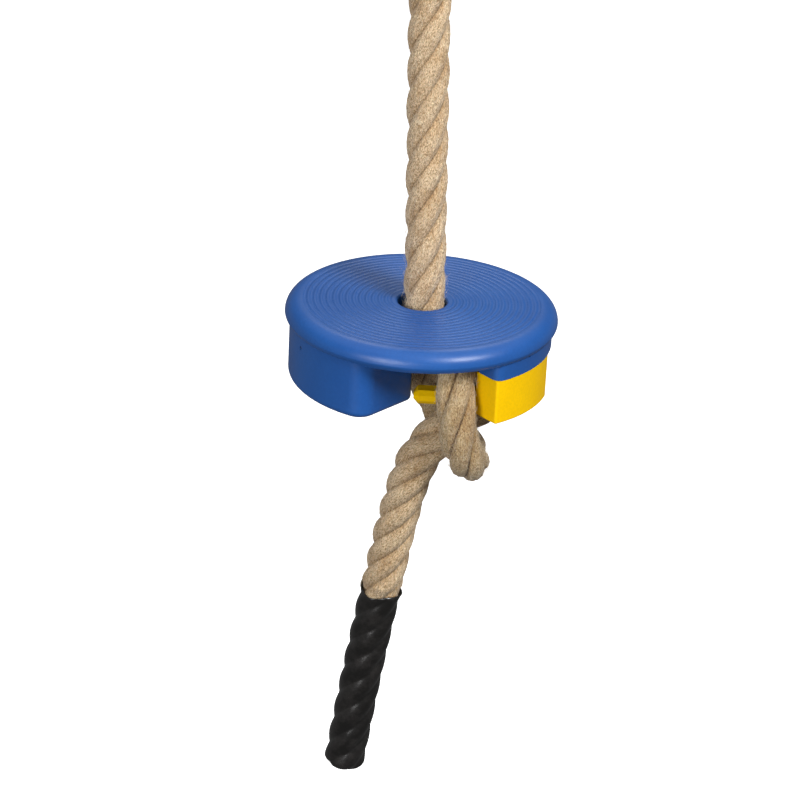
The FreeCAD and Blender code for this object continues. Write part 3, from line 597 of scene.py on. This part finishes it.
def build_rope():
    points, along = route_points()
    fibre_look = rope_fibre("hemp_rope_look")
    bare = along <= along[-1] - CORE_GAP
    rope = make_rope(points[bare], along[bare], fibre_look)
    sleeve = make_sleeve(points, along, shrunk_sleeve())
    fibres = make_fibres(points, along, loose_fibre())
    for piece, slot in ((rope, "hemp_rope"), (sleeve, "black_sleeve"), (fibres, "hemp_rope")):
        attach(piece, "swing_seat")
    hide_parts("rope_standing", "rope_knot", "rope_tail")
    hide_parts("end_sleeve")


# ---------------------------------------------------------------- stage, light and camera
def plain_floor():
    """Plain white floor, lit evenly in itself, that neither lights the part nor is mirrored in it."""
    size = 60.0
    drop = 0.45
    height = cad_box[0].z - drop
    mesh = bpy.data.meshes.new("floor")
    corners = [(-size, -size, height), (size, -size, height), (size, size, height), (-size, size, height)]
    mesh.from_pydata(corners, [], [(0, 1, 2, 3)])
    floor = bpy.data.objects.new("floor", mesh)
    bpy.context.scene.collection.objects.link(floor)
    material, _, shader = new_material("pale_floor")
    shader.inputs["Base Color"].default_value = (0.90, 0.90, 0.90, 1.0)
    shader.inputs["Roughness"].default_value = 0.9
    shader.inputs["Emission Color"].default_value = (1.0, 1.0, 1.0, 1.0)
    shader.inputs["Emission Strength"].default_value = 0.85
    floor.data.materials.append(material)
    floor.visible_diffuse = False
    floor.visible_glossy = False


def soft_light(name, place, aim, size, watts):
    data = bpy.data.lights.new(name, "AREA")
    data.shape = "DISK"
    data.size = size
    data.energy = watts
    lamp = bpy.data.objects.new(name, data)
    bpy.context.scene.collection.objects.link(lamp)
    lamp.location = place
    lamp.rotation_mode = "QUATERNION"
    lamp.rotation_quaternion = (Vector(aim) - Vector(place)).to_track_quat("-Z", "Y")


def studio_light():
    """Room that is bright overhead and dim below, with a key light from the front right, a fill
    light from the front left and a faint one behind that brings out the ripples."""
    world = bpy.data.worlds.new("studio")
    bpy.context.scene.world = world
    world.use_nodes = True
    tree = world.node_tree
    coords = tree.nodes.new("ShaderNodeTexCoord")
    split = tree.nodes.new("ShaderNodeSeparateXYZ")
    tree.links.new(coords.outputs["Generated"], split.inputs["Vector"])
    height = node(tree, "ShaderNodeMapRange")
    height.inputs["From Min"].default_value = -1.0
    tree.links.new(split.outputs["Z"], height.inputs["Value"])
    sky = ramp(tree, height.outputs["Result"], [(0.28, grey(0.14)), (0.50, grey(0.25)),
                                                (0.66, grey(0.09)), (0.76, grey(0.12)),
                                                (0.92, grey(0.85))])
    tree.links.new(sky, tree.nodes["Background"].inputs["Color"])
    seat = (0.0, 0.0, SEAT_TOP)
    soft_light("key", (1.37, -1.50, SEAT_TOP + 1.70), seat, 1.0, 65)
    soft_light("fill", (-0.95, -2.0, SEAT_TOP + 0.35), seat, 1.2, 30)
    soft_light("sheen", (0.0, 0.80, SEAT_TOP + 0.90), (0.0, -0.1, SEAT_TOP), 0.7, 2.6)


def photo_camera():
    """Long lens from the front, raised above the seat's top and rolled a little. It is panned
    and tilted off the seat's middle, because the hanging rope takes up the lower half."""
    elevation = math.radians(22.6)
    roll = math.radians(3.0)
    pan = math.radians(0.220066)
    tilt = math.radians(1.893331)
    distance = 2.9
    back = Vector((0, -math.cos(elevation), math.sin(elevation)))
    place = Vector((SEAT_X, 0, SEAT_TOP)) + back * distance
    forward = -back
    right = Vector((1, 0, 0))
    up = right.cross(forward)
    aimed = forward * math.cos(pan) - right * math.sin(pan)
    right = right * math.cos(pan) + forward * math.sin(pan)
    forward = aimed * math.cos(tilt) - up * math.sin(tilt)
    up = up * math.cos(tilt) + aimed * math.sin(tilt)
    right, up = right * math.cos(roll) + up * math.sin(roll), up * math.cos(roll) - right * math.sin(roll)
    data = bpy.data.cameras.new("camera")
    data.sensor_width = 36.0
    data.lens = 141.34524
    data.clip_end = 100.0
    camera = bpy.data.objects.new("camera", data)
    bpy.context.scene.collection.objects.link(camera)
    rotation = Matrix((right, up, -forward)).transposed().to_4x4()
    camera.matrix_world = Matrix.Translation(place) @ rotation
    bpy.context.scene.camera = camera


bpy.context.scene.view_settings.view_transform = "Standard"
photo_camera()
studio_light()
plain_floor()
dress_cad_nodes()
build_rope()
